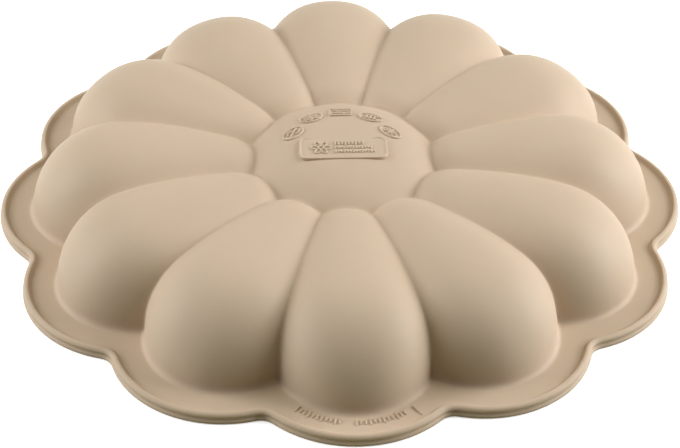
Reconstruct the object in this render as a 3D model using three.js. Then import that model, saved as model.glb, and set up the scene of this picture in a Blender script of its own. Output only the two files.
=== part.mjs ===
// A flower-shaped silicone cake mould, lying open side down: twelve hollow petals round a
// centre dome, on a scalloped flange with a raised rim.
// Millimetres, +Z up. The rim's underside is z = 0, the flower's axis is the Z axis, and the
// front petal points along -Y.

import * as THREE from 'three';
import { ParametricGeometry } from 'three/addons/geometries/ParametricGeometry.js';
import { mergeGeometries, mergeVertices } from 'three/addons/utils/BufferGeometryUtils.js';

// Silicone wall, and the hairline left between two neighbouring features of the moulding.
const wall = 2.2;
const seam = 0.3;

// Petals. Radii are measured from the flower's axis, heights from the rim's underside.
const petalCount = 12;
const petalTipRadius = 126.4; // foot of the petal's outer end
const petalCentreRadius = 91.5; // the petal's broadest and highest section
const petalHalfWidth = 31.8; // at that section, as if the neighbours weren't there
const petalInnerHalfWidth = 17; // where the petal meets the dome
const petalCrownHeight = 36.7;
const petalInnerCrownHeight = 29.7;
const petalNoseLength = 8.6; // the rounded end beside the dome
const petalNoseSweep = 2.6; // how far that end draws back from the dome in the valleys
const petalRoundness = 2.26; // across the petal: 2 is an ellipse, more is squarer
const petalEndRoundness = 2; // the same for the ridge over the outer end
const petalCrownFlatness = 1.5; // how long the ridge stays level towards the dome
const petalTaper = 2; // 1 is a straight taper towards the dome

// Centre dome, a flattened button between the petals' inner ends.
const domeRadius = 36.3;
const domeEdgeHeight = 26.4;
const domeTopHeight = 34.4;
const domeFlatness = 3.5; // 2 is a parabola, more is flatter on top
const creaseDepth = 1.2; // wall depth under the crease round the dome, in walls

// Flange and its rim. The rim has one lobe for each petal.
const flangeThickness = 3;
const flangeWidth = 9.7; // petal tip to the rim's inner side
const rootFillet = 2.2; // concave sweep from the flange up into the petals
const rimWidth = 3.9;
const rimHeight = 4.5;
const rimRound = 1.6; // the rim's outer shoulder
const rimLobeRadius = 44;
const rimNotchRadius = 6.8;

// Raised label plate and five small raised badges on the dome.
const labelWidth = 35.4;
const labelDepth = 14.3;
const labelCorner = 3.4;
const labelFrontDistance = 12.6; // dome's centre to the plate's front edge
const labelRise = 0.35; // above the dome's top, over the hairline
const badgeArcRadius = 20.8; // the badges stand on an arc round the dome's centre
const badgeSpacing = THREE.MathUtils.degToRad(36);
const badgeTurn = 0.62; // each badge's own turn, as a share of its place round the arc
const badgeLength = 10.6;
const badgeWidth = 6.8;
const badgeBlockLength = 9.8;
const badgeBlockWidth = 6.6;
const badgeBlockCorner = 0.8;
const badgeRise = 0.6;

// Steps of the faceted surfaces.
const petalStepsAcross = 8;
const petalStepsAlong = 14;
const petalStepEasing = 0.6; // 0 is even steps, more is closer steps at the petal's two ends
const petalSamples = 80; // fine steps along a petal, from which the others are measured off
const rimStepsPerLobe = 12;
const rimStepsOver = 3; // round the rim's shoulder, and again down its inner slope
const rootSteps = 3; // round the concave root
const domeStepsRound = 48;
const domeStepsOut = 7;
const reliefStepsOut = 4; // on the underside of the plate and the badges
const labelSteps = 44; // round the plate's outline
const badgeBlockSteps = 32;
const badgeOvalSteps = 20;

const silicone = new THREE.MeshStandardMaterial({ color: 0xcbb392, roughness: 0.55, metalness: 0 });

const halfSector = Math.PI / petalCount;
const rimOuterRadius = petalTipRadius + flangeWidth + rimWidth;
const rootTop = flangeThickness + rootFillet; // where the petals stand on the flange's root

// Surfaces.

// Dome height at a distance from the axis; inset 0 is the outside, inset = wall the inside.
function domeHeight(r, inset) {
  const edge = domeEdgeHeight - inset * creaseDepth;
  const top = domeTopHeight - inset;
  return top - (top - edge) * (r / domeRadius) ** domeFlatness;
}

// Height of a petal lying along +X, over the point (x, y).
function petalHeight(x, y, inset) {
  let ridge = petalCrownHeight - inset - flangeThickness;
  let halfWidth = petalHalfWidth - inset;
  if (x > petalCentreRadius) {
    const out = (x - petalCentreRadius) / (petalTipRadius - petalCentreRadius - inset);
    const t = Math.min(out, 1);
    ridge *= (1 - t ** petalEndRoundness) ** (1 / petalEndRoundness);
    halfWidth *= Math.sqrt(1 - t * t);
  } else {
    const s = (petalCentreRadius - x) / (petalCentreRadius - domeRadius);
    ridge -= (petalCrownHeight - petalInnerCrownHeight) * s ** petalCrownFlatness;
    halfWidth -= (petalHalfWidth - petalInnerHalfWidth) * s ** petalTaper;
  }
  const across = Math.min(Math.abs(y) / Math.max(halfWidth, 1e-6), 1);
  return flangeThickness + ridge * (1 - across ** petalRoundness) ** (1 / petalRoundness);
}

// The same petal with its inner end rounded down to the crease, where it meets the dome's slope.
function shellHeight(r, angle, inset) {
  const start = domeRadius + inset / 2 + petalNoseSweep * (angle / halfSector) ** 2;
  if (r <= start) {
    return domeHeight(r, inset);
  }
  const z = petalHeight(r * Math.cos(angle), r * Math.sin(angle), inset);
  const crease = domeHeight(start, inset);
  const t = Math.min((r - start) / petalNoseLength, 1);
  return crease + (z - crease) * Math.sqrt(1 - (1 - t) ** 2);
}

// Distance from the axis to the petal's foot in one direction; offset > 0 lies outside it.
function footRadius(angle, offset) {
  const a = petalTipRadius - petalCentreRadius + offset;
  const b = petalHalfWidth + offset;
  const square = (Math.cos(angle) / a) ** 2 + (Math.sin(angle) / b) ** 2;
  const linear = (petalCentreRadius * Math.cos(angle)) / a ** 2;
  const rest = (petalCentreRadius / a) ** 2 - 1;
  return (linear + Math.sqrt(Math.max(linear ** 2 - square * rest, 0))) / square;
}

// Distance from the axis to the scalloped rim, moved in by an inset: round lobes, with the
// notches between them rounded by arcs that touch both lobes.
function rimRadius(angle, inset) {
  const lobeCentre = rimOuterRadius - rimLobeRadius;
  const reach = rimLobeRadius + rimNotchRadius;
  const across = lobeCentre * Math.sin(halfSector);
  const notchCentre = lobeCentre * Math.cos(halfSector) + Math.sqrt(reach ** 2 - across ** 2);
  const toNotch = new THREE.Vector2(
    notchCentre * Math.cos(halfSector) - lobeCentre,
    notchCentre * Math.sin(halfSector),
  ).setLength(rimLobeRadius - inset);
  const touchAngle = Math.atan2(toNotch.y, lobeCentre + toNotch.x);
  const a = Math.abs(angle);
  if (a <= touchAngle) {
    const lobe = rimLobeRadius - inset;
    return lobeCentre * Math.cos(a) + Math.sqrt(lobe ** 2 - (lobeCentre * Math.sin(a)) ** 2);
  }
  const b = halfSector - a;
  const notch = rimNotchRadius + inset;
  return notchCentre * Math.cos(b) - Math.sqrt(notch ** 2 - (notchCentre * Math.sin(b)) ** 2);
}

// Geometry from grids of points.

// A surface through a grid of points, columns[i][k].
function surface(columns) {
  const slices = columns.length - 1;
  const stacks = columns[0].length - 1;
  const place = (u, v, target) => {
    target.copy(columns[Math.round(u * slices)][Math.round(v * stacks)]);
  };
  return new ParametricGeometry(place, slices, stacks);
}

// One closed body from surfaces that share their edge points.
function closedBody(...surfaces) {
  const joined = mergeGeometries(surfaces);
  joined.deleteAttribute('normal');
  joined.deleteAttribute('uv');
  const body = mergeVertices(joined, 1e-4);
  body.computeVertexNormals();
  return body;
}

// Directions across one sector, closer together beside the valleys and notches.
function sectorAngles(steps) {
  const angles = [];
  for (let i = 0; i <= steps; i += 1) {
    const u = (2 * i) / steps - 1;
    angles.push(halfSector * (1.5 * u - 0.5 * u ** 3));
  }
  return angles;
}

// Shares of a petal's wall from the dome to its foot, closer together at its rounded ends.
function petalShares(steps) {
  const shares = [];
  for (let i = 0; i <= steps; i += 1) {
    const turn = (2 * Math.PI * i) / steps;
    shares.push((turn - petalStepEasing * Math.sin(turn)) / (2 * Math.PI));
  }
  return shares;
}

function upright(point, angle) {
  return new THREE.Vector3(point.x * Math.cos(angle), point.x * Math.sin(angle), point.y);
}

// A body with the same closed section, (radius, height), in every direction round the axis.
function ringBody(section) {
  const columns = [];
  for (let k = 0; k < petalCount; k += 1) {
    for (const angle of sectorAngles(rimStepsPerLobe).slice(0, -1)) {
      const points = section(angle).map((p) => upright(p, angle + 2 * halfSector * k));
      columns.push([...points, points[0]]);
    }
  }
  columns.push(columns[0]);
  return closedBody(surface(columns));
}

// A low raised body over the dome: an outline round a centre, a top and an underside.
function reliefBody(outline, centre, topHeight, underHeight) {
  const columns = outline.map((edge) => {
    const at = (share, height) => {
      const p = new THREE.Vector2().lerpVectors(centre, edge, share);
      return new THREE.Vector3(p.x, p.y, height(p.length()));
    };
    const points = [];
    for (let i = 0; i <= reliefStepsOut; i += 1) {
      points.push(at(i / reliefStepsOut, underHeight));
    }
    points.push(at(1, topHeight), at(0, topHeight));
    return points;
  });
  return closedBody(surface(columns));
}

function roundedRectangle(width, depth, corner, centre, steps) {
  const x = width / 2 - corner;
  const y = depth / 2 - corner;
  const path = new THREE.Path();
  path.absarc(centre.x + x, centre.y + y, corner, 0, Math.PI / 2);
  path.absarc(centre.x - x, centre.y + y, corner, Math.PI / 2, Math.PI);
  path.absarc(centre.x - x, centre.y - y, corner, Math.PI, 1.5 * Math.PI);
  path.absarc(centre.x + x, centre.y - y, corner, 1.5 * Math.PI, 2 * Math.PI);
  path.closePath();
  return path.getSpacedPoints(steps);
}

// Pieces.

const mould = new THREE.Group();
mould.name = 'flower_cake_mould';

function addPiece(name, geometry) {
  const piece = new THREE.Mesh(geometry, silicone);
  piece.name = name;
  mould.add(piece);
  return piece;
}

// Centre dome: a turned shell, its edge one hairline short of the petals.
function domeProfile(inset) {
  const points = [];
  for (let i = 0; i <= domeStepsOut; i += 1) {
    const r = ((domeRadius - seam / 2) * i) / domeStepsOut;
    points.push(new THREE.Vector2(r, domeHeight(r, inset)));
  }
  return points;
}
const domeSection = [...domeProfile(wall), ...domeProfile(0).reverse()];
const domeGeometry = closedBody(new THREE.LatheGeometry(domeSection, domeStepsRound));
domeGeometry.rotateX(Math.PI / 2);
addPiece('centre_dome', domeGeometry);

// One petal along +X: its outer and inner walls run from the crease round the dome over the
// crown and down to the flange's root, and its two side faces lie in the valleys.
function petalWall(angle, inset) {
  const start = domeRadius + seam / 2;
  const end = footRadius(angle, -inset);
  const foot = rootTop + seam / 2;
  const points = [];
  for (let i = 0; i <= petalSamples; i += 1) {
    const r = start + ((end - start) * (1 - Math.cos((Math.PI * i) / petalSamples))) / 2;
    const z = shellHeight(r, angle, inset);
    if (z < foot) {
      const last = points[points.length - 1];
      const cut = (last.y - foot) / (last.y - z);
      points.push(new THREE.Vector2(last.x + (r - last.x) * cut, foot));
      break;
    }
    points.push(new THREE.Vector2(r, z));
  }
  const curve = new THREE.SplineCurve(points);
  return petalShares(petalStepsAlong).map((share) => curve.getPointAt(share));
}

function petalColumn(angle, inset) {
  const points = petalWall(angle, inset).map((p) => upright(p, angle));
  if (Math.abs(angle) > halfSector - 1e-6) {
    const side = Math.sign(angle);
    const clear = new THREE.Vector3(Math.sin(halfSector), -side * Math.cos(halfSector), 0);
    points.forEach((p) => p.addScaledVector(clear, seam / 2));
  }
  return points;
}

const petalAngles = sectorAngles(petalStepsAcross);
const petalOuter = petalAngles.map((angle) => petalColumn(angle, 0));
const petalInner = petalAngles.map((angle) => petalColumn(angle, wall));
const petalLoops = petalOuter.map((outer, i) => {
  const inner = [...petalInner[i]].reverse();
  return [...outer, ...inner, outer[0]];
});
const lastColumn = petalAngles.length - 1;
const petalGeometry = closedBody(
  surface(petalLoops.reverse()),
  surface([petalOuter[0], petalInner[0]]),
  surface([petalInner[lastColumn], petalOuter[lastColumn]]),
);
for (let k = 0; k < petalCount; k += 1) {
  const petal = addPiece(`petal_${String(k + 1).padStart(2, '0')}`, petalGeometry);
  petal.rotation.z = -Math.PI / 2 + 2 * halfSector * k;
}

// Flange: a flat scalloped ring whose inner edge sweeps up into the root of the petals.
function flangeSection(angle) {
  const inner = footRadius(angle, -wall);
  const outer = rimRadius(angle, rimWidth + seam / 2);
  const top = rootTop - seam / 2;
  const points = [[outer, 0], [outer, flangeThickness]];
  for (let i = 0; i < rootSteps; i += 1) {
    const t = (Math.PI / 2) * (1 - i / rootSteps);
    const out = footRadius(angle, rootFillet - rootFillet * Math.cos(t));
    points.push([out, flangeThickness + rootFillet - rootFillet * Math.sin(t)]);
  }
  points.push([footRadius(angle, 0), top], [inner, top], [inner, 0]);
  return points.map(([r, z]) => new THREE.Vector2(r, z));
}
const flange = addPiece('flange', ringBody(flangeSection));
flange.rotation.z = -Math.PI / 2;

// Rim: the raised edge round the flange, with a round outer shoulder and an S-shaped inner slope.
function rimSection(angle) {
  const points = [[0, 0]];
  for (let i = 0; i <= rimStepsOver; i += 1) {
    const t = ((Math.PI / 2) * i) / rimStepsOver;
    points.push([rimRound - rimRound * Math.cos(t), rimHeight - rimRound + rimRound * Math.sin(t)]);
  }
  const slope = rimWidth - seam / 2 - rimRound;
  for (let i = 1; i <= rimStepsOver; i += 1) {
    const share = i / rimStepsOver;
    const drop = (1 - Math.cos(Math.PI * share)) / 2;
    points.push([rimRound + slope * share, rimHeight - (rimHeight - flangeThickness) * drop]);
  }
  points.push([rimRound + slope, 0]);
  return points.map(([inset, z]) => new THREE.Vector2(rimRadius(angle, inset), z));
}
const rim = addPiece('rim', ringBody(rimSection));
rim.rotation.z = -Math.PI / 2;

// Label plate: flat on top, its underside on the dome.
const labelCentre = new THREE.Vector2(0, labelDepth / 2 - labelFrontDistance);
const onDome = (r) => domeHeight(r, 0) + seam;
const labelTop = () => domeTopHeight + seam + labelRise;
const labelOutline = roundedRectangle(
  labelWidth, labelDepth, labelCorner, labelCentre, labelSteps,
);
addPiece('label_plate', reliefBody(labelOutline, labelCentre, labelTop, onDome));

// Badges: four ovals and one block on an arc behind the plate, each following the dome.
const badgeTop = (r) => onDome(r) + badgeRise;
for (const place of [-2, -1, 0, 1, 2]) {
  const bearing = Math.PI / 2 - place * badgeSpacing;
  const centre = new THREE.Vector2(Math.cos(bearing), Math.sin(bearing));
  centre.multiplyScalar(badgeArcRadius);
  if (place === 0) {
    const outline = roundedRectangle(
      badgeBlockLength, badgeBlockWidth, badgeBlockCorner, centre, badgeBlockSteps,
    );
    addPiece('badge_block', reliefBody(outline, centre, badgeTop, onDome));
  } else {
    const turn = -place * badgeSpacing * badgeTurn;
    const oval = new THREE.EllipseCurve(
      centre.x, centre.y, badgeLength / 2, badgeWidth / 2, 0, 2 * Math.PI, false, turn,
    );
    const outline = oval.getPoints(badgeOvalSteps);
    const name = `badge_oval_${place < 0 ? place + 3 : place + 2}`;
    addPiece(name, reliefBody(outline, centre, badgeTop, onDome));
  }
}

export default mould;
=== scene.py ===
import functools
import math

import bmesh
import bpy
from mathutils import Matrix, Vector


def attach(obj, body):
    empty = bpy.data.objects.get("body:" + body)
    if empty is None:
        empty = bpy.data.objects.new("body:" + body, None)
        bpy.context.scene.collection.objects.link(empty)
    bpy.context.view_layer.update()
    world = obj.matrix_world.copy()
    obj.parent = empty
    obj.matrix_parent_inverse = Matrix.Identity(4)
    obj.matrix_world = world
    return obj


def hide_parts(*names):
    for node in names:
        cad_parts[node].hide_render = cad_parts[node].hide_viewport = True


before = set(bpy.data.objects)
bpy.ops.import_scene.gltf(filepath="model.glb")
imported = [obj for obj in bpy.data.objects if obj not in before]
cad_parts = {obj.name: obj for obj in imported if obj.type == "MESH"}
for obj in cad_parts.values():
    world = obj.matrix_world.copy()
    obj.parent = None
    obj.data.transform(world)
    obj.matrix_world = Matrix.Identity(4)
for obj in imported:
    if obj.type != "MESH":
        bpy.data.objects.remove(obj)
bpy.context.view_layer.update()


# The moulding: one wall of beige silicone, cured between two steel mould halves and peeled off.
# Twelve hollow petals stand round a flattened centre dome on a flat flange, which ends in a
# scalloped, rounded rim with a parting line. All of it is one unbroken skin, outside and inside.
mm = 0.001
petal_count = 12
moulding_sizes = {
    "Wall": 2.2 * mm,
    "Petal tip radius": 126.4 * mm,
    "Petal centre radius": 91.5 * mm,
    "Petal half width": 31.8 * mm,
    "Petal inner half width": 17 * mm,
    "Petal crown height": 36.7 * mm,
    "Petal inner crown height": 29.7 * mm,
    "Petal nose length": 8.6 * mm,
    "Petal nose sweep": 2.6 * mm,
    "Petal roundness": 2.26,
    "Petal end roundness": 2.0,
    "Petal crown flatness": 1.5,
    "Petal taper": 2.0,
    "Valley round": 0.52 * mm,
    "Dome radius": 36.3 * mm,
    "Dome edge height": 26.4 * mm,
    "Dome top height": 34.4 * mm,
    "Dome flatness": 3.5,
    "Crease wall": 1.2,
    "Crease round": 3.8 * mm,
    "Flange thickness": 3 * mm,
    "Root fillet": 2.2 * mm,
    "Rim outer radius": 140 * mm,
    "Rim width": 3.9 * mm,
    "Rim height": 4.5 * mm,
    "Rim round": 1.5 * mm,
    "Rim crest": 2.1 * mm,  # from the rim's outer edge in to its highest line
    "Rim lobe radius": 44 * mm,
    "Rim notch radius": 6.8 * mm,
    "Rim setback": 0.34 * mm,  # from the ledge's edge in to the rounded top's side
    "Rim neck depth": 0.28 * mm,
    "Rim ledge height": 1.25 * mm,
    "Edge round": 0.4 * mm,
}
nose_sink = 0.5  # share of the wall by which the petal's nose starts farther out on the inside
nose_fall = 1.5  # slope of the nose where it dips under the dome
foot_place = 0.6  # share of the petal's reach at which the valley's round is taken for its foot
root_start = 0.958  # share of the petal's wall at which it turns into the root
petal_columns = 28
nose_reach = 11 * mm  # closely stepped part of the petal beside the dome
dome_crowding = 1.6  # rows lie closer together towards the dome's edge,
nose_crowding = 1.3  # on the petal's side of it too,
foot_crowding = 2  # and towards the petal's foot


class Field:
    """A number that differs from point to point; arithmetic on it adds Math nodes to its tree."""

    def __init__(self, socket):
        self.socket = socket

    __add__ = __radd__ = lambda self, other: math_node("ADD", self, other)
    __mul__ = __rmul__ = lambda self, other: math_node("MULTIPLY", self, other)
    __sub__ = lambda self, other: math_node("SUBTRACT", self, other)
    __rsub__ = lambda self, other: math_node("SUBTRACT", other, self)
    __truediv__ = lambda self, other: math_node("DIVIDE", self, other)
    __rtruediv__ = lambda self, other: math_node("DIVIDE", other, self)
    __pow__ = lambda self, other: math_node("POWER", self, other)
    __abs__ = lambda self: math_node("ABSOLUTE", self)


def feed(slot, value):
    """Links a Field or a socket to a node's input, or writes a plain value into it."""
    if isinstance(value, Field):
        value = value.socket
    if isinstance(value, bpy.types.NodeSocket):
        slot.id_data.links.new(value, slot)
    else:
        slot.default_value = value


def add_node(tree, kind, settings=(), **properties):
    """A node with its properties set and then its inputs fed, by their names or numbers."""
    node = tree.nodes.new(kind)
    for key, value in properties.items():
        setattr(node, key, value)
    for key, value in dict(settings).items():
        feed(node.inputs[key], value)
    return node


@functools.cache
def math_node(operation, *values):
    """A Math node on numbers and Fields, in the tree of the first Field among them.
    The same sum is made once and used again."""
    tree = next(value for value in values if isinstance(value, Field)).socket.id_data
    return Field(add_node(tree, "ShaderNodeMath", enumerate(values), operation=operation).outputs[0])


def sine(angle):
    return math_node("SINE", angle)


def cosine(angle):
    return math_node("COSINE", angle)


def larger(a, b):
    return math_node("MAXIMUM", a, b)


def smaller(a, b):
    return math_node("MINIMUM", a, b)


def read(tree, kind, output=0):
    """What a node without inputs reads from the geometry, as a Field."""
    return Field(tree.nodes.new(kind).outputs[output])


def vector(tree, x, y, z):
    """Three numbers or Fields as one vector Field."""
    return Field(add_node(tree, "ShaderNodeCombineXYZ", enumerate((x, y, z))).outputs[0])


def geometry_tree(name, sizes):
    """A Geometry Nodes tree with a named input for each size, and those inputs as Fields."""
    tree = bpy.data.node_groups.new(name, "GeometryNodeTree")
    tree.interface.new_socket("Geometry", in_out="OUTPUT", socket_type="NodeSocketGeometry")
    tree.interface.new_socket("Geometry", in_out="INPUT", socket_type="NodeSocketGeometry")
    tree.interface.new_socket("Silicone", in_out="INPUT", socket_type="NodeSocketMaterial")
    for size in sizes:
        tree.interface.new_socket(size, in_out="INPUT", socket_type="NodeSocketFloat")
    inputs = tree.nodes.new("NodeGroupInput")
    return tree, inputs, {size: Field(inputs.outputs[size]) for size in sizes}


def chain(tree, socket, *steps):
    """Passes a geometry through nodes in turn; a step is a node type or (type, {input: value})."""
    for step in steps:
        kind, settings = step if isinstance(step, tuple) else (step, {})
        node = add_node(tree, kind, settings)
        feed(node.inputs[0], socket)
        socket = node.outputs[0]
    return socket


def finish_tree(tree, inputs, socket):
    """Ends a tree in one real mesh, smooth, with the silicone on it."""
    socket = chain(
        tree, socket,
        "GeometryNodeRealizeInstances",
        ("GeometryNodeMergeByDistance", {"Distance": 0.001 * mm}),
        "GeometryNodeSetShadeSmooth",
        ("GeometryNodeSetMaterial", {"Material": inputs.outputs["Silicone"]}),
    )
    add_node(tree, "NodeGroupOutput", {"Geometry": socket})


def add_object(name, data):
    thing = bpy.data.objects.new(name, data)
    bpy.context.scene.collection.objects.link(thing)
    return thing


def run_tree(tree, name, sizes, material, source=None):
    """Runs a tree on a mesh and keeps the result as a plain mesh object."""
    maker = add_object(name + "_maker", source or bpy.data.meshes.new(name + "_start"))
    modifier = maker.modifiers.new(tree.name, "NODES")
    modifier.node_group = tree
    values = dict(sizes, Silicone=material)
    for socket in tree.interface.items_tree:
        if socket.in_out == "INPUT" and socket.name in values:
            modifier[socket.identifier] = values[socket.name]
    evaluated = maker.evaluated_get(bpy.context.evaluated_depsgraph_get())
    piece = add_object(name, bpy.data.meshes.new_from_object(evaluated))
    bpy.data.objects.remove(maker)
    return piece


# Its silicone: satin, a little waxy under the surface, with the fine blasted grain of the steel
# that shaped it and faint clouds of tone from the pigment.
silicone_light = (0.592, 0.470, 0.351, 1)
silicone_deep = (0.541, 0.421, 0.307, 1)
silicone_look = {
    "IOR": 1.41,
    "Specular IOR Level": 0.22,
    "Subsurface Weight": 0.15,
    "Subsurface Radius": (1.0, 0.6, 0.35),
    "Subsurface Scale": 2.5 * mm,
}
cloud_scale = 38
cloud_detail = 4
cloud_satin = 0.16  # change of roughness over the clouds
grain_detail = 2
grain_satin = 0.10  # and over the grain
grain_strength = 0.25
grain_depth = 0.05 * mm


def grain_group():
    """Shader group: cloudy tone, satin roughness and the height of the blasted grain."""
    group = bpy.data.node_groups.new("moulded_grain", "ShaderNodeTree")
    for name in ("Cloud scale", "Grain scale", "Satin"):
        group.interface.new_socket(name, in_out="INPUT", socket_type="NodeSocketFloat")
    for name in ("Tone", "Roughness", "Grain"):
        group.interface.new_socket(name, in_out="OUTPUT", socket_type="NodeSocketFloat")
    inputs = group.nodes.new("NodeGroupInput")
    place = group.nodes.new("ShaderNodeTexCoord").outputs["Object"]

    def noise(scale, detail):
        return Field(add_node(group, "ShaderNodeTexNoise", {
            "Vector": place, "Scale": inputs.outputs[scale], "Detail": detail,
        }).outputs[0])

    cloud = noise("Cloud scale", cloud_detail)
    grain = noise("Grain scale", grain_detail)
    satin = Field(inputs.outputs["Satin"]) + (cloud - 0.5) * cloud_satin + (grain - 0.5) * grain_satin
    add_node(group, "NodeGroupOutput", {"Tone": cloud, "Roughness": satin, "Grain": grain})
    return group


moulded_grain = grain_group()


def silicone_material(name, grain_scale, satin):
    """Beige silicone; its grain is finer and shinier where the steel was polished."""
    material = bpy.data.materials.new(name)
    material.use_nodes = True
    tree = material.node_tree
    grain = add_node(tree, "ShaderNodeGroup", {
        "Cloud scale": cloud_scale, "Grain scale": grain_scale, "Satin": satin,
    }, node_tree=moulded_grain)
    tone = add_node(tree, "ShaderNodeMix", {
        "Factor": grain.outputs["Tone"], "A": silicone_deep, "B": silicone_light,
    }, data_type="RGBA")
    bump = add_node(tree, "ShaderNodeBump", {
        "Strength": grain_strength, "Distance": grain_depth, "Height": grain.outputs["Grain"],
    })
    shader = tree.nodes["Principled BSDF"]
    for key, value in silicone_look.items():
        feed(shader.inputs[key], value)
    feed(shader.inputs["Base Color"], tone.outputs["Result"])
    feed(shader.inputs["Roughness"], grain.outputs["Roughness"])
    feed(shader.inputs["Normal"], bump.outputs["Normal"])
    return material


silicone = silicone_material("beige_silicone", grain_scale=1600, satin=0.5)


def dome_height(size, r, inset):
    """Height of the dome at a distance from its axis; inset 0 is the outside."""
    edge = size["Dome edge height"] - inset * size["Crease wall"]
    top = size["Dome top height"] - inset
    return top - (top - edge) * (r / size["Dome radius"]) ** size["Dome flatness"]


def moulding_tree():
    """One petal's sector as strips of skin, laid end to end round its section, times twelve."""
    tree, inputs, size = geometry_tree("flower_moulding", moulding_sizes)
    place = tree.nodes.new("GeometryNodeInputPosition").outputs[0]
    parts = add_node(tree, "ShaderNodeSeparateXYZ", {0: place})
    across = Field(parts.outputs["X"]) * 2  # -1 to 1 across the sector
    along = Field(parts.outputs["Y"]) + 0.5  # 0 to 1 along a strip
    half_sector = math.pi / petal_count
    angle = across * (across * across * 0.5 - 1.5) * half_sector  # columns crowd into the valleys
    join = tree.nodes.new("GeometryNodeJoinGeometry")

    wall = size["Wall"]
    thickness = size["Flange thickness"]
    dome_radius = size["Dome radius"]
    centre = size["Petal centre radius"]
    reach = size["Petal tip radius"] - centre
    roundness = size["Petal roundness"]
    end_roundness = size["Petal end roundness"]
    rim_width = size["Rim width"]
    rim_height = size["Rim height"]
    rim_round = size["Rim round"]
    setback = size["Rim setback"]
    edge_round = size["Edge round"]

    def petal_direction(r):
        """Angle from the petal's ridge, eased so that the valley's floor is round."""
        gap = half_sector - abs(angle)
        ease = size["Valley round"] / r
        return half_sector - (gap * gap + ease * ease) ** 0.5

    def petal_height(x, y, inset):
        out = smaller(larger((x - centre) / (reach - inset), 0), 1)
        back = larger((centre - x) / (centre - dome_radius), 0)
        drop = size["Petal crown height"] - size["Petal inner crown height"]
        ridge = size["Petal crown height"] - inset - thickness
        ridge = ridge * (1 - out ** end_roundness) ** (1 / end_roundness)
        ridge = ridge - drop * back ** size["Petal crown flatness"]
        half = (size["Petal half width"] - inset) * (1 - out * out) ** 0.5
        narrowing = size["Petal half width"] - size["Petal inner half width"]
        half = half - narrowing * back ** size["Petal taper"]
        share = smaller(abs(y) / larger(half, 0.001 * mm), 1)
        return thickness + ridge * (1 - share ** roundness) ** (1 / roundness)

    def skin_height(r, inset):
        """Dome and petal, joined by a rounded crease."""
        turn = petal_direction(r)
        petal = petal_height(r * cosine(turn), r * sine(turn), inset)
        beside = turn / half_sector  # 0 on the petal's ridge, 1 in the valley
        start = dome_radius + inset * nose_sink + size["Petal nose sweep"] * beside * beside
        edge = dome_height(size, start, inset)
        rest = 1 - smaller(larger((r - start) / size["Petal nose length"], 0), 1)
        nose = edge + (petal - edge) * (1 - rest * rest) ** 0.5 + smaller(r - start, 0) * nose_fall
        dome = dome_height(size, r, inset)
        crease = size["Crease round"]
        overlap = larger(1 - abs(dome - nose) / crease, 0)
        return larger(dome, nose) + overlap * overlap * crease * 0.25

    def foot_radius(offset):
        """The petal's foot, an ellipse, seen from the flower's axis."""
        turn = petal_direction(centre + reach * foot_place)
        a = reach + offset
        b = size["Petal half width"] + offset
        square = (cosine(turn) / a) ** 2 + (sine(turn) / b) ** 2
        linear = centre * cosine(turn) / (a * a)
        rest = (centre / a) ** 2 - 1
        return (linear + larger(linear * linear - square * rest, 0) ** 0.5) / square

    def rim_radius(inset):
        """Round lobes, with the notches between them rounded by arcs that touch both lobes."""
        lobe_centre = size["Rim outer radius"] - size["Rim lobe radius"]
        span = size["Rim lobe radius"] + size["Rim notch radius"]
        beside = lobe_centre * math.sin(half_sector)
        notch_centre = lobe_centre * math.cos(half_sector) + (span * span - beside * beside) ** 0.5
        lobe = size["Rim lobe radius"] - inset
        notch = size["Rim notch radius"] + inset
        touch_x = lobe_centre + (notch_centre * math.cos(half_sector) - lobe_centre) / span * lobe
        touch_y = notch_centre * math.sin(half_sector) / span * lobe
        turn = abs(angle)
        in_lobe = math_node("LESS_THAN", turn, math_node("ARCTAN2", touch_y, touch_x))
        lobe_side = lobe_centre * sine(turn)
        on_lobe = lobe_centre * cosine(turn) + larger(lobe * lobe - lobe_side * lobe_side, 0) ** 0.5
        notch_side = notch_centre * sine(half_sector - turn)
        on_notch = (
            notch_centre * cosine(half_sector - turn)
            - larger(notch * notch - notch_side * notch_side, 0) ** 0.5
        )
        return on_notch + (on_lobe - on_notch) * in_lobe

    def dome(v, inset):
        r = dome_radius * (1 - (1 - v) ** dome_crowding)
        return r, skin_height(r, inset)

    def nose(v, inset):
        r = dome_radius + v ** nose_crowding * nose_reach
        return r, skin_height(r, inset)

    def petal(v, inset):
        start = dome_radius + nose_reach
        end = foot_radius(inset * -1)
        r = end - (end - start) * (1 - v) ** foot_crowding
        return r, skin_height(r, inset)

    def root(v):
        """A concave sweep from the petal's wall out to the flange."""
        r, z = petal(root_start, 0)
        bend, end = foot_radius(0), foot_radius(size["Root fillet"])
        rest = 1 - v
        r = r * rest * rest + bend * v * rest * 2 + end * v * v
        z = z * rest * rest + thickness * (1 - rest * rest)
        return r, z

    def flange_top(v):
        start = foot_radius(size["Root fillet"])
        return start + (rim_radius(rim_width) - start) * v, thickness

    def rim_inside(v):
        """An S-shaped slope from the flange up to the rim's top."""
        inset = rim_width + (size["Rim crest"] - rim_width) * v
        rise = (1 - cosine(v * math.pi)) * 0.5
        return rim_radius(inset), thickness + (rim_height - thickness) * rise

    def rim_shoulder(v):
        turn = v * (math.pi / 2)
        crest = size["Rim crest"] - setback
        inset = setback + crest - crest * sine(turn)
        return rim_radius(inset), rim_height - rim_round + rim_round * cosine(turn)

    def rim_side(v):
        """A neck under the rounded top, then a ledge that stands out to the full width."""
        top = rim_height - rim_round
        z = top + (edge_round - top) * v
        t = smaller((top - z) / (top - size["Rim ledge height"]), 1)
        neck = size["Rim neck depth"] * 4 * t * (1 - t)
        return rim_radius(setback * (1 - t * t * t) + neck), z

    def rim_edge(v):
        turn = v * (math.pi / 2)
        return rim_radius(edge_round - edge_round * cosine(turn)), edge_round - edge_round * sine(turn)

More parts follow.
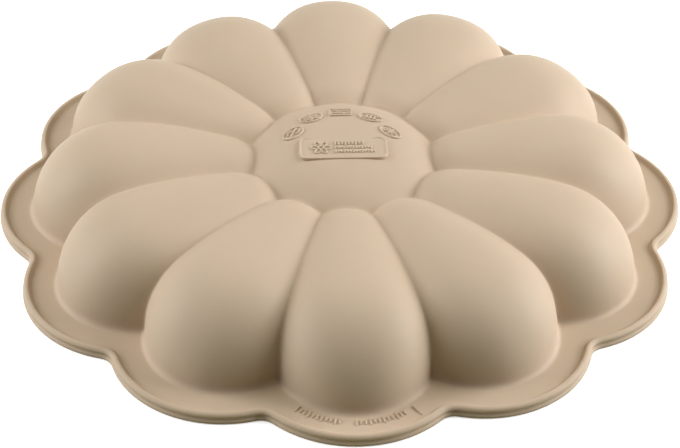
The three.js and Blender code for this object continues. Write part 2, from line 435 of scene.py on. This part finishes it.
    def underside(v):
        start = rim_radius(edge_round)
        return start + (foot_radius(edge_round - wall) - start) * v, 0

    def mouth_edge(v):
        turn = v * (math.pi / 2)
        inset = wall - edge_round + edge_round * sine(turn)
        return foot_radius(inset * -1), edge_round - edge_round * cosine(turn)

    def mouth_side(v):
        r, top = petal(1, wall)
        return r, edge_round + (top - edge_round) * v

    section = (  # rows of faces and path of each strip, from the dome's top round to its inside
        (26, lambda v: dome(v, 0)),
        (16, lambda v: nose(v, 0)),
        (52, lambda v: petal(v * root_start, 0)),
        (8, root),
        (4, flange_top),
        (10, rim_inside),
        (8, rim_shoulder),
        (20, rim_side),
        (3, rim_edge),
        (4, underside),
        (3, mouth_edge),
        (2, mouth_side),
        (40, lambda v: petal(1 - v, wall)),
        (10, lambda v: nose(1 - v, wall)),
        (14, lambda v: dome(1 - v, wall)),
    )
    for rows, path in section:
        grid = add_node(tree, "GeometryNodeMeshGrid", {
            "Vertices X": petal_columns + 1, "Vertices Y": rows + 1,
        })
        r, z = path(along)
        strip = vector(tree, r * cosine(angle), r * sine(angle), z)
        laid = chain(tree, grid.outputs["Mesh"], ("GeometryNodeSetPosition", {"Position": strip}))
        feed(join.inputs[0], laid)

    places = add_node(tree, "GeometryNodePoints", {"Count": petal_count})
    turned = read(tree, "GeometryNodeInputIndex") * (2 * half_sector) - math.pi / 2
    petals = add_node(tree, "GeometryNodeInstanceOnPoints", {
        "Points": places.outputs[0],
        "Instance": join.outputs[0],
        "Rotation": vector(tree, 0, 0, turned),
    })
    finish_tree(tree, inputs, petals.outputs["Instances"])
    return tree


moulding = run_tree(moulding_tree(), "moulding", moulding_sizes, silicone)
petal_nodes = ["petal_%02d" % (k + 1) for k in range(petal_count)]
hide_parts("centre_dome", "flange", "rim", *petal_nodes)
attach(moulding, "root")


# Label plate: a flat raised panel on the dome's top, engraved in the steel and so moulded in one
# with the dome. A rounded bead runs round its sides and front and ends at the back corners, where
# the panel runs level into the dome. Its field has a plain flower and rows of plain strokes.
plate_width = 35.4 * mm
plate_depth = 14.3 * mm
plate_corner = 3.4 * mm
plate_front = 12.6 * mm  # dome's centre to the plate's front edge
plate_field = 34.44 * mm
plate_foot = 0.5 * mm  # how far the plate reaches under the dome's skin
plate_edge = (  # distance in from the edge and height over the field, in mm, over the bead
    (0, -0.19), (0.04, 0.16), (0.14, 0.33), (0.34, 0.41), (0.54, 0.36), (0.68, 0.23), (0.75, 0.09),
    (0.82, 0), (1.4, 0), (2.0, 0), (2.6, 0), (3.0, 0),
)
plate_bead_end = 11.5 * mm  # along the back edge the bead fades out towards here
plate_bead_fade = 3 * mm
plate_back_sink = 0.03 * mm  # there the panel starts just under the dome's skin
plate_back_run = 2.6 * mm  # and comes up to its field over this distance
plate_line = 0.8 * mm
plate_line_rise = 0.16 * mm  # the lines' middle over the field
flower_place = -9.0 * mm
flower_petals = 6
flower_radius = 4.0 * mm
flower_loop_place = 0.62  # each petal is an oval loop, in shares of the flower's radius
flower_loop_length = 0.38
flower_loop_width = 0.26
flower_loop_steps = 16
stroke_rows = (  # place, height, spacing and count
    (3.0 * mm, 3.0 * mm, 1.4 * mm, 9),
    (0.0 * mm, 1.9 * mm, 1.2 * mm, 13),
    (-2.7 * mm, 1.9 * mm, 1.2 * mm, 14),
)
stroke_start = -3.2 * mm
stroke_tall = 3  # every third stroke has the row's full height
stroke_short = 0.75  # and the others this share of it
rod_sides = 10
rod_step = 0.4  # steps along a raised line, and its thickness at the tips, in rod radii
rod_tip = 0.2
engraved_silicone = silicone_material("engraved_silicone", grain_scale=2600, satin=0.46)


def rounded_rectangle(width, depth, corner, inset):
    """Points round a rectangle with round corners, anticlockwise, moved in by an inset."""
    corner_steps = 8
    side_steps = 16
    radius = max(corner - inset, 0.1 * mm)
    corners = []
    for quarter, (sx, sy) in enumerate(((1, 1), (-1, 1), (-1, -1), (1, -1))):
        corners.append([
            (
                sx * (width / 2 - inset - radius) + radius * math.cos(turn),
                sy * (depth / 2 - inset - radius) + radius * math.sin(turn),
            )
            for turn in (math.pi / 2 * (quarter + i / corner_steps) for i in range(corner_steps + 1))
        ])
    points = []
    for arc, following in zip(corners, corners[1:] + corners[:1]):
        (x0, y0), (x1, y1) = arc[-1], following[0]
        points += arc
        for i in range(1, side_steps):
            points.append((x0 + (x1 - x0) * i / side_steps, y0 + (y1 - y0) * i / side_steps))
    return points


def on_dome(x, y):
    return dome_height(moulding_sizes, math.hypot(x, y), 0)


def mesh_of(shape, name):
    """Turns a bmesh into a mesh and frees it."""
    mesh = bpy.data.meshes.new(name)
    shape.to_mesh(mesh)
    shape.free()
    return mesh


def pad_object(name, rings):
    """A closed pad from outlines of equal length: from its foot, over its edge, to its middle."""
    pad = bmesh.new()
    rows = [[pad.verts.new(point) for point in ring] for ring in rings]
    for low, high in zip(rows, rows[1:]):
        for i in range(len(low)):
            j = (i + 1) % len(low)
            pad.faces.new((low[i], low[j], high[j], high[i]))
    pad.faces.new(rows[0][::-1])
    pad.faces.new(rows[-1])
    return add_object(name, mesh_of(pad, name))


def raised_line_tree():
    """Sweeps a round-ended rod along drawn lines; its upper half stands out of the surface."""
    tree, inputs, size = geometry_tree("raised_lines", ["Line width"])
    radius = size["Line width"] * 0.5
    rod = add_node(tree, "GeometryNodeCurvePrimitiveCircle", {
        "Resolution": rod_sides, "Radius": radius,
    })
    lines = chain(tree, inputs.outputs["Geometry"], "GeometryNodeMeshToCurve")
    steps = add_node(tree, "GeometryNodeResampleCurve", {
        "Curve": lines, "Length": radius * rod_step,
    }, mode="LENGTH")
    walked = read(tree, "GeometryNodeSplineParameter", "Length")
    whole = read(tree, "GeometryNodeSplineLength", "Length")
    loop = read(tree, "GeometryNodeInputSplineCyclic", "Cyclic")
    from_end = smaller(smaller(walked, whole - walked) / radius, 1)
    girth = larger((1 - (1 - from_end) ** 2) ** 0.5, rod_tip)
    sweep = add_node(tree, "GeometryNodeCurveToMesh", {
        "Curve": steps.outputs["Curve"],
        "Profile Curve": rod.outputs["Curve"],
        "Scale": larger(girth, loop),
        "Fill Caps": True,
    })
    finish_tree(tree, inputs, sweep.outputs["Mesh"])
    return tree


raised_lines = raised_line_tree()


def line_object(name, lines, width):
    """Raised lines along lists of points; a line whose last point is its first is a loop."""
    drawn = bmesh.new()
    for line in lines:
        loop = line[0] == line[-1]
        points = [drawn.verts.new(point) for point in (line[:-1] if loop else line)]
        for a, b in zip(points, points[1:] + points[:1] if loop else points[1:]):
            drawn.edges.new((a, b))
    source = mesh_of(drawn, name + "_lines")
    return run_tree(raised_lines, name, {"Line width": width}, engraved_silicone, source)


def relief_piece(name, node, *parts):
    """Joins pads, raised lines or strokes into a piece, which may stand for a CAD node."""
    whole = bmesh.new()
    for part in parts:
        whole.from_mesh(part.data)
        bpy.data.objects.remove(part)
    mesh = mesh_of(whole, name)
    mesh.materials.append(engraved_silicone)
    mesh.polygons.foreach_set("use_smooth", [True] * len(mesh.polygons))
    piece = add_object(name, mesh)
    if node:
        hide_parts(node)
    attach(piece, "root")


def label_plate():
    middle = plate_depth / 2 - plate_front
    line_height = plate_field + plate_line_rise

    def height(x, y, inset, rise):
        """A bead round the sides and the front; along the back the panel leaves the dome level."""
        end = (abs(x) - plate_bead_end) / plate_bead_fade if y > middle else 1
        share = min(max(end, 0), 1)
        skin = on_dome(x, y) - plate_back_sink
        level = skin + (plate_field - skin) * min(inset / plate_back_run, 1)
        return level + (plate_field + rise - level) * share

    def ring(inset, rise):
        outline = rounded_rectangle(plate_width, plate_depth, plate_corner, inset)
        return [(x, y + middle, height(x, y + middle, inset, rise)) for x, y in outline]

    foot = [(x, y, on_dome(x, y) - plate_foot) for x, y, z in ring(0, 0)]
    rings = [foot] + [ring(inset * mm, rise * mm) for inset, rise in plate_edge]

    flower = []
    for k in range(flower_petals):
        turn = 2 * math.pi * k / flower_petals
        loop = []
        for i in range(flower_loop_steps):
            t = 2 * math.pi * i / flower_loop_steps
            out = flower_radius * (flower_loop_place - flower_loop_length * math.cos(t))
            side = flower_radius * flower_loop_width * math.sin(t)
            loop.append((
                flower_place + out * math.cos(turn) - side * math.sin(turn),
                middle + out * math.sin(turn) + side * math.cos(turn),
                line_height,
            ))
        flower.append(loop + loop[:1])
    strokes = []
    for y, tall, spacing, count in stroke_rows:
        for k in range(count):
            x = stroke_start + k * spacing
            half = tall / 2 * (stroke_short if k % stroke_tall else 1)
            strokes.append([(x, middle + y + half * t, line_height) for t in (-1, 0, 1)])
    relief_piece(
        "label_plate_relief", "label_plate",
        pad_object("plate_pad", rings),
        line_object("plate_flower", flower, plate_line),
        line_object("plate_strokes", strokes, plate_line),
    )


label_plate()


# Badges: four ovals and a block on an arc behind the plate, moulded with the dome. Each has a
# raised outline and a plain care picture: a slash, waves, an oven rack, a frost star, or bars.
badge_arc_radius = 20.8 * mm  # round the dome's centre
badge_spacing = math.radians(36)
badge_turn = 0.62  # each badge's own turn, as a share of its place round the arc
badge_length = 10.6 * mm
badge_width = 6.8 * mm
badge_steps = 40
block_length = 9.8 * mm
block_width = 6.6 * mm
block_corner = 0.8 * mm
badge_line = 0.9 * mm
badge_line_rise = 0.2 * mm  # the lines' middle over the badge's floor
badge_edge = (  # distance in from the edge and height over the dome, in mm, over the raised outline
    (0, -0.4), (0.02, 0.38), (0.1, 0.56), (0.25, 0.64), (0.45, 0.66), (0.62, 0.62), (0.72, 0.5),
    (0.76, 0.22),
)
badge_floor = 0.12 * mm
badge_floor_inset = 0.82 * mm
badge_floor_shares = (1, 0.75, 0.5, 0.25, 0.05)  # the floor's outlines, towards the middle

# The pictures' lines, in mm from a badge's middle.
slash = (
    ((-3.4, -1.5), (0, 0), (3.4, 1.5)),
    ((-3.0, 0.3), (-1.4, 1.6), (0.2, 1.3)),
    ((-0.4, -1.4), (1.4, -1.7), (3.0, -0.4)),
)
waves = tuple(
    tuple((x * 0.45, y + 0.5 * math.sin(x * 0.9)) for x in range(-7, 8)) for y in (-1.3, 0.1, 1.5)
)
frost_star = tuple(
    tuple((s * 3.0 * math.cos(a), s * 2.2 * math.sin(a)) for s in (-1, 0, 1))
    for a in (math.radians(t) for t in (0, 45, 90, 135))
)
oven_rack = (
    ((-3.2, 1.1), (0, 1.1), (3.2, 1.1)), ((-3.2, -1.1), (0, -1.1), (3.2, -1.1)),
    ((-1.6, -1.9), (-1.6, 1.9)), ((0.0, -2.1), (0.0, 2.1)), ((1.6, -1.9), (1.6, 1.9)),
)
bars = (
    ((-3.4, 1.1), (-1.2, 1.1)), ((-0.2, 1.1), (3.4, 1.1)),
    ((-3.4, -1.0), (1.2, -1.0)), ((2.2, -1.0), (3.4, -1.0)),
)


def oval_outline(inset):
    turns = [2 * math.pi * i / badge_steps for i in range(badge_steps)]
    length, width = badge_length / 2 - inset, badge_width / 2 - inset
    return [(length * math.cos(turn), width * math.sin(turn)) for turn in turns]


def block_outline(inset):
    return rounded_rectangle(block_length, block_width, block_corner, inset)


def badge(node, place, outline, picture):
    bearing = math.pi / 2 - place * badge_spacing
    turn = -place * badge_spacing * badge_turn
    cx = badge_arc_radius * math.cos(bearing)
    cy = badge_arc_radius * math.sin(bearing)

    def laid(point, rise):
        x = cx + point[0] * math.cos(turn) - point[1] * math.sin(turn)
        y = cy + point[0] * math.sin(turn) + point[1] * math.cos(turn)
        return (x, y, on_dome(x, y) + rise)

    rings = [[laid(p, rise * mm) for p in outline(inset * mm)] for inset, rise in badge_edge]
    floor_edge = outline(badge_floor_inset)
    for share in badge_floor_shares:
        rings.append([laid((x * share, y * share), badge_floor) for x, y in floor_edge])
    height = badge_floor + badge_line_rise
    lines = [[laid((x * mm, y * mm), height) for x, y in line] for line in picture]
    relief_piece(
        node + "_relief", node,
        pad_object(node + "_pad", rings), line_object(node + "_picture", lines, badge_line),
    )


badge("badge_oval_1", -2, oval_outline, slash)
badge("badge_oval_2", -1, oval_outline, waves)
badge("badge_block", 0, block_outline, bars)
badge("badge_oval_3", 1, oval_outline, oven_rack)
badge("badge_oval_4", 2, oval_outline, frost_star)


# Ticks on the front lobe of the flange: two short rows of plain raised strokes and one longer
# stroke, engraved in the steel along an arc round the lobe's centre.
tick_sizes = {
    "Lobe centre": 96 * mm,
    "Flange thickness": moulding_sizes["Flange thickness"],
    "Tick width": 0.85 * mm,
    "Tick height": 0.6 * mm,
    "Spacing": math.radians(2.8),
}
tick_rows = [
    {
        "First angle": math.radians(degrees),
        "Ticks": count,
        "Tick length": length * mm,
        "Arc radius": radius * mm,
    }
    for degrees, count, length, radius in (
        (-39, 11.0, 3.8, 34.6),
        (-1, 12.0, 3.8, 34.6),
        (37, 1.0, 6.4, 36.2),
    )
]
tick_tall = 3  # every third tick is full length
tick_shortening = 0.3  # share that the others lack
tick_segments = 10
tick_rings = 6


def tick_tree():
    """A row of low rounded strokes, every third one longer."""
    tree, inputs, size = geometry_tree("tick_row", [*tick_sizes, *tick_rows[0]])
    index = read(tree, "GeometryNodeInputIndex")
    turn = size["First angle"] + index * size["Spacing"]
    short = math_node("LESS_THAN", 0.5, math_node("MODULO", index, tick_tall))
    spot = vector(
        tree,
        size["Arc radius"] * sine(turn),
        size["Lobe centre"] * -1 - size["Arc radius"] * cosine(turn),
        size["Flange thickness"],
    )
    half_sizes = vector(
        tree,
        size["Tick width"] * 0.5,
        size["Tick length"] * 0.5 * (1 - short * tick_shortening),
        size["Tick height"],
    )
    row = add_node(tree, "GeometryNodePoints", {"Count": size["Ticks"], "Position": spot})
    stroke = add_node(tree, "GeometryNodeMeshUVSphere", {
        "Segments": tick_segments, "Rings": tick_rings, "Radius": 1,
    })
    ticks = add_node(tree, "GeometryNodeInstanceOnPoints", {
        "Points": row.outputs[0],
        "Instance": stroke.outputs["Mesh"],
        "Rotation": vector(tree, 0, 0, turn),
        "Scale": half_sizes,
    })
    finish_tree(tree, inputs, ticks.outputs["Instances"])
    return tree


tick_row = tick_tree()
relief_piece("flange_ticks", None, *(
    run_tree(tick_row, "tick_row_%d" % (k + 1), {**tick_sizes, **row}, engraved_silicone)
    for k, row in enumerate(tick_rows)
))


# Floor: a plain pale sheet under the mould. It looks white to the camera, keeps the mould's
# shadow, and sends back less light than it seems to.
floor_white = (0.9, 0.9, 0.9, 1)
floor_bounce = (0.36, 0.35, 0.17, 1)
floor_glow = 0.6
floor_half = 4.0
floor_drop = 0.2 * mm  # just under the flange


def seen_white(tree):
    """1 on the camera's view, direct, mirrored or through something clear, and 0 on other light."""
    path = tree.nodes.new("ShaderNodeLightPath").outputs
    mirrored = larger(Field(path["Is Camera Ray"]), Field(path["Is Glossy Ray"]))
    return larger(mirrored, Field(path["Is Transmission Ray"]))


floor_mesh = bpy.data.meshes.new("floor")
floor_mesh.from_pydata(
    [(x * floor_half, y * floor_half, -floor_drop) for x, y in ((-1, -1), (1, -1), (1, 1), (-1, 1))],
    [], [(0, 1, 2, 3)],
)
floor = add_object("floor", floor_mesh)
floor_paper = bpy.data.materials.new("floor_paper")
floor_paper.use_nodes = True
paper = floor_paper.node_tree
paper.nodes.clear()
paper_seen = seen_white(paper)
tint = add_node(paper, "ShaderNodeMix", {
    "Factor": paper_seen, "A": floor_bounce, "B": floor_white,
}, data_type="RGBA")
matt = add_node(paper, "ShaderNodeBsdfDiffuse", {"Color": tint.outputs["Result"]})
glow = add_node(paper, "ShaderNodeEmission", {"Strength": paper_seen * floor_glow})
both = add_node(paper, "ShaderNodeAddShader", {0: matt.outputs[0], 1: glow.outputs[0]})
add_node(paper, "ShaderNodeOutputMaterial", {"Surface": both.outputs[0]})
floor_mesh.materials.append(floor_paper)


# Light: soft boxes left, right, above and behind, the low ones a little cool and the one above a
# little warm, in a white room that gives little light of its own.
room_light = 0.01
neutral = (1, 1, 1)
cool = (0.96, 0.99, 1.10)
warm = (1.02, 1.0, 0.74)


def soft_box(name, place, size, power, colour):
    """A rectangular lamp, turned towards the mould; place and size in metres, power in watts."""
    lamp = bpy.data.lights.new(name, "AREA")
    lamp.shape = "RECTANGLE"
    lamp.size, lamp.size_y = size
    lamp.energy = power
    lamp.color = colour
    box = add_object(name, lamp)
    box.location = place
    box.rotation_euler = (-Vector(place)).to_track_quat("-Z", "Y").to_euler()


soft_box("left_box", (-1.1, 0.1, 0.7), (0.9, 0.7), 10.5, neutral)
soft_box("right_box", (1.1, 0.1, 0.7), (0.9, 0.7), 14.3, neutral)
soft_box("left_low_box", (-1.2, 0.0, 0.3), (0.9, 0.4), 4.8, cool)
soft_box("right_low_box", (1.2, 0.0, 0.3), (0.9, 0.4), 7.1, cool)
soft_box("top_box", (0.0, 0.02, 1.4), (1.2, 0.9), 3.8, warm)
soft_box("back_box", (0.0, 0.7, 1.1), (1.2, 0.8), 1.3, neutral)

room = bpy.data.worlds.new("white_room")
room.use_nodes = True
bpy.context.scene.world = room
air = room.node_tree
feed(air.nodes["Background"].inputs["Color"], (1, 1, 1, 1))
feed(air.nodes["Background"].inputs["Strength"], seen_white(air) * (1 - room_light) + room_light)


# Camera: at the photograph's angle, in front of the front petal and a little to its left.
image_width = 680
focal_pixels = 1960.4
sensor_width = 36
near_clip = 0.01
camera_distance = 0.8121
camera_elevation = math.radians(37.91)
camera_azimuth = math.radians(-3.313)
camera_pan = math.radians(0.032)
camera_tilt = math.radians(-0.492)
camera_roll = math.radians(1.066)
lens = bpy.data.cameras.new("camera")
lens.sensor_fit = "HORIZONTAL"
lens.sensor_width = sensor_width
lens.lens = focal_pixels / image_width * sensor_width
lens.clip_start = near_clip
camera = add_object("camera", lens)
back = Vector((0, -math.cos(camera_elevation), math.sin(camera_elevation)))
camera.matrix_world = (
    Matrix.Rotation(camera_azimuth, 4, "Z")
    @ Matrix.Translation(back * camera_distance)
    @ Matrix.Rotation(math.pi / 2 - camera_elevation, 4, "X")
    @ Matrix.Rotation(camera_pan, 4, "Y")
    @ Matrix.Rotation(camera_tilt, 4, "X")
    @ Matrix.Rotation(camera_roll, 4, "Z")
)
bpy.context.scene.camera = camera
bpy.context.scene.view_settings.view_transform = "Standard"
